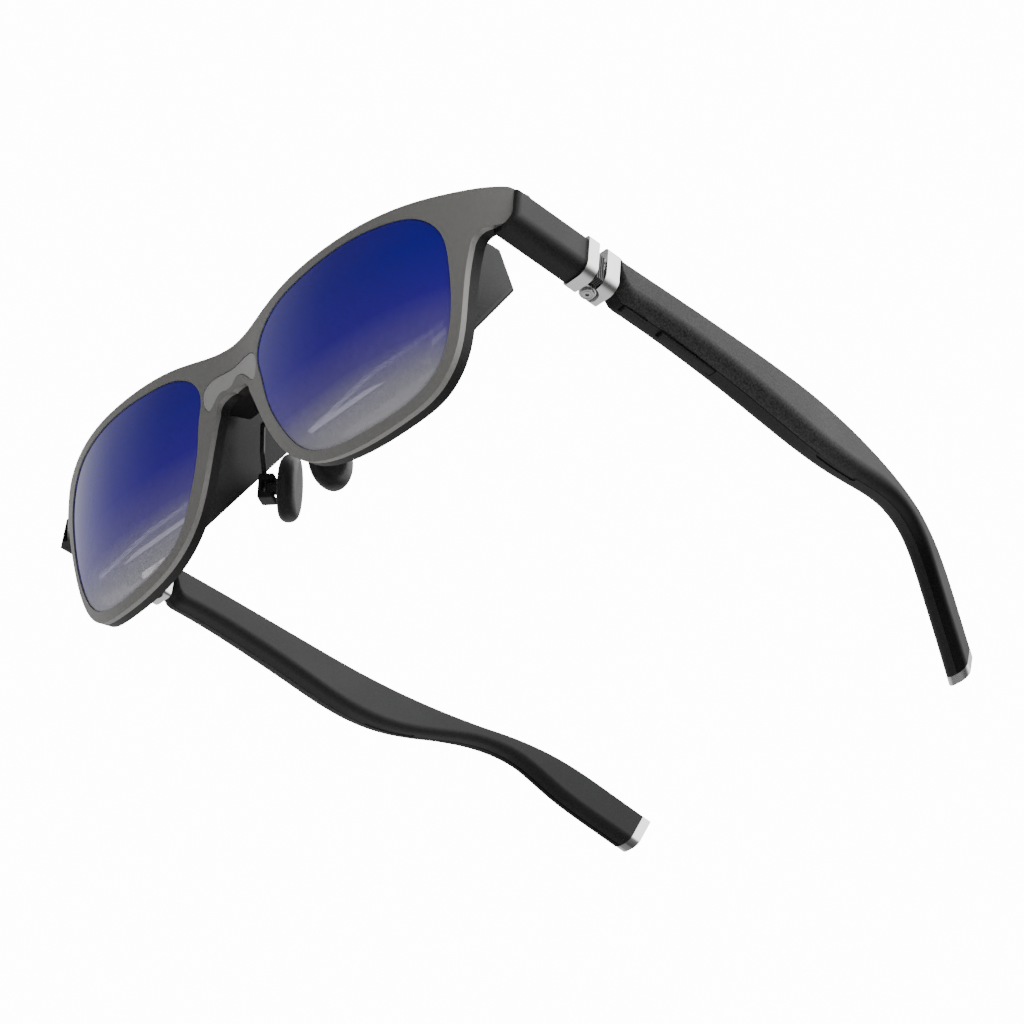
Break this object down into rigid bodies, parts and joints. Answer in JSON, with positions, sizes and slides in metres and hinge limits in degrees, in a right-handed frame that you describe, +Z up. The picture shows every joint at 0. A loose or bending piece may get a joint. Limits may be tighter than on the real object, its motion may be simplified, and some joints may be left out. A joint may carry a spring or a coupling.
{
  "type": "smart glasses",
  "caption": "Smart glasses with tinted lens covers, see-through display optics, folding speaker temples, silver hinge rings, nose pads and under-temple buttons.",
  "frame": {"origin": "centre of the footprint, on the surface the glasses stand on (the two rim bottoms and the two temple tips)", "axes": "+X to the wearer's left, +Y back along the temples, +Z up"},
  "size_m": [0.1538, 0.17, 0.0462],
  "materials": {
    "bezel_metal": "satin warm grey, fine grain",
    "frame_plastic": "matte black, fine speckle",
    "temple_grey": "satin dark grey",
    "temple_black": "satin near-black",
    "window_grey": "satin sensor window",
    "tinted_lens": "blue to violet mirror gradient, clear at the bottom",
    "clear_optic": "coated optic",
    "brushed_silver": "brushed",
    "steel": "polished",
    "silicone": "soft black silicone",
    "circuit_board": "solder mask",
    "electronic_black": "moulded electronics"
  },
  "bodies": {
    "root": {"main_frame": "frame_plastic", "front_bezel": "bezel_metal", "bridge_window": "window_grey", "lens_cover_left": "tinted_lens", "lens_cover_right": "tinted_lens", "optics_housing_left": "frame_plastic", "optics_housing_right": "frame_plastic", "eye_window_left": "clear_optic", "eye_window_right": "clear_optic", "beam_splitter_left": "clear_optic", "beam_splitter_right": "clear_optic", "curved_mirror_left": "clear_optic", "curved_mirror_right": "clear_optic", "display_module_left": "electronic_black", "display_module_right": "electronic_black", "bridge_cover": "frame_plastic", "main_board": "circuit_board", "wear_sensor": "electronic_black", "hinge_front_ring_left": "brushed_silver", "hinge_front_ring_right": "brushed_silver", "hinge_flex_boot_left": "silicone", "hinge_flex_boot_right": "silicone", "hinge_pin_left": "steel", "hinge_pin_right": "steel", "pad_box_left": "frame_plastic", "pad_box_right": "frame_plastic", "nose_wire_left": "steel", "nose_wire_right": "steel", "nose_bracket": "frame_plastic", "bracket_screws": "steel"},
    "temple_left": {"hinge_rear_ring_left": "brushed_silver", "temple_outer_left": "temple_grey", "temple_inner_left": "temple_black", "temple_tip_cap_left": "brushed_silver", "speaker_left": "electronic_black", "speaker_grille_left": "temple_black", "temple_core_left": "steel", "temple_board_left": "circuit_board", "button_switches": "electronic_black"},
    "nose_pad_left": {"nose_pad_left": "silicone"},
    "diopter_dial_left": {"diopter_dial_left": "frame_plastic"},
    "focus_lens_left": {"focus_lens_left": "clear_optic"},
    "temple_right": {"hinge_rear_ring_right": "brushed_silver", "temple_outer_right": "temple_grey", "temple_inner_right": "temple_black", "temple_tip_cap_right": "brushed_silver", "speaker_right": "electronic_black", "speaker_grille_right": "temple_black", "temple_core_right": "steel", "temple_board_right": "circuit_board", "cable_port": "steel"},
    "nose_pad_right": {"nose_pad_right": "silicone"},
    "diopter_dial_right": {"diopter_dial_right": "frame_plastic"},
    "focus_lens_right": {"focus_lens_right": "clear_optic"},
    "mode_key": {"mode_key": "temple_black"},
    "volume_rocker": {"volume_rocker": "temple_black"}
  },
  "joints": [
    {"name": "temple_fold_left", "type": "hinge", "parent": "root", "child": "temple_left", "pos_m": [0.0709, -0.04843, 0.0346], "axis": [0, 0.126, 0.992], "range_deg": [0, 74]},
    {"name": "temple_fold_right", "type": "hinge", "parent": "root", "child": "temple_right", "pos_m": [-0.0709, -0.04843, 0.0346], "axis": [0, -0.126, -0.992], "range_deg": [0, 84]},
    {"name": "nose_pad_tilt_left", "type": "hinge", "parent": "root", "child": "nose_pad_left", "pos_m": [0.00994, -0.06341, 0.01962], "axis": [-0.1489, -0.0668, 0.9866], "range_deg": [-12, 12]},
    {"name": "nose_pad_tilt_right", "type": "hinge", "parent": "root", "child": "nose_pad_right", "pos_m": [-0.00994, -0.06341, 0.01962], "axis": [0.1489, -0.0668, 0.9866], "range_deg": [-12, 12]},
    {"name": "diopter_turn_left", "type": "hinge", "parent": "root", "child": "diopter_dial_left", "pos_m": [0.0272, -0.0682, 0.04336], "axis": [0, -0.1264, 0.992], "range_deg": [-150, 150]},
    {"name": "focus_slide_left", "type": "slide", "parent": "root", "child": "focus_lens_left", "axis": [0, -0.1264, 0.992], "range_m": [-0.00058, 0.00058]},
    {"name": "diopter_turn_right", "type": "hinge", "parent": "root", "child": "diopter_dial_right", "pos_m": [-0.0272, -0.0682, 0.04336], "axis": [0, -0.1264, 0.992], "range_deg": [-150, 150]},
    {"name": "focus_slide_right", "type": "slide", "parent": "root", "child": "focus_lens_right", "axis": [0, -0.1264, 0.992], "range_m": [-0.00058, 0.00058]},
    {"name": "mode_key_press", "type": "slide", "parent": "temple_left", "child": "mode_key", "axis": [0, 0.126, 0.992], "range_m": [0, 0.00035], "stiffness_N_per_m": 1500, "springref_m": -0.0002},
    {"name": "volume_rocker_tilt", "type": "hinge", "parent": "temple_left", "child": "volume_rocker", "pos_m": [0.0722, -0.02292, 0.02869], "axis": [1, 0, 0], "range_deg": [-2.2, 2.2], "stiffness_Nm_per_rad": 0.2}
  ],
  "couplings": [
    {"joint": "diopter_turn_left", "follows": "focus_slide_left", "rad_per_m": 4545},
    {"joint": "diopter_turn_right", "follows": "focus_slide_right", "rad_per_m": 4545}
  ]
}
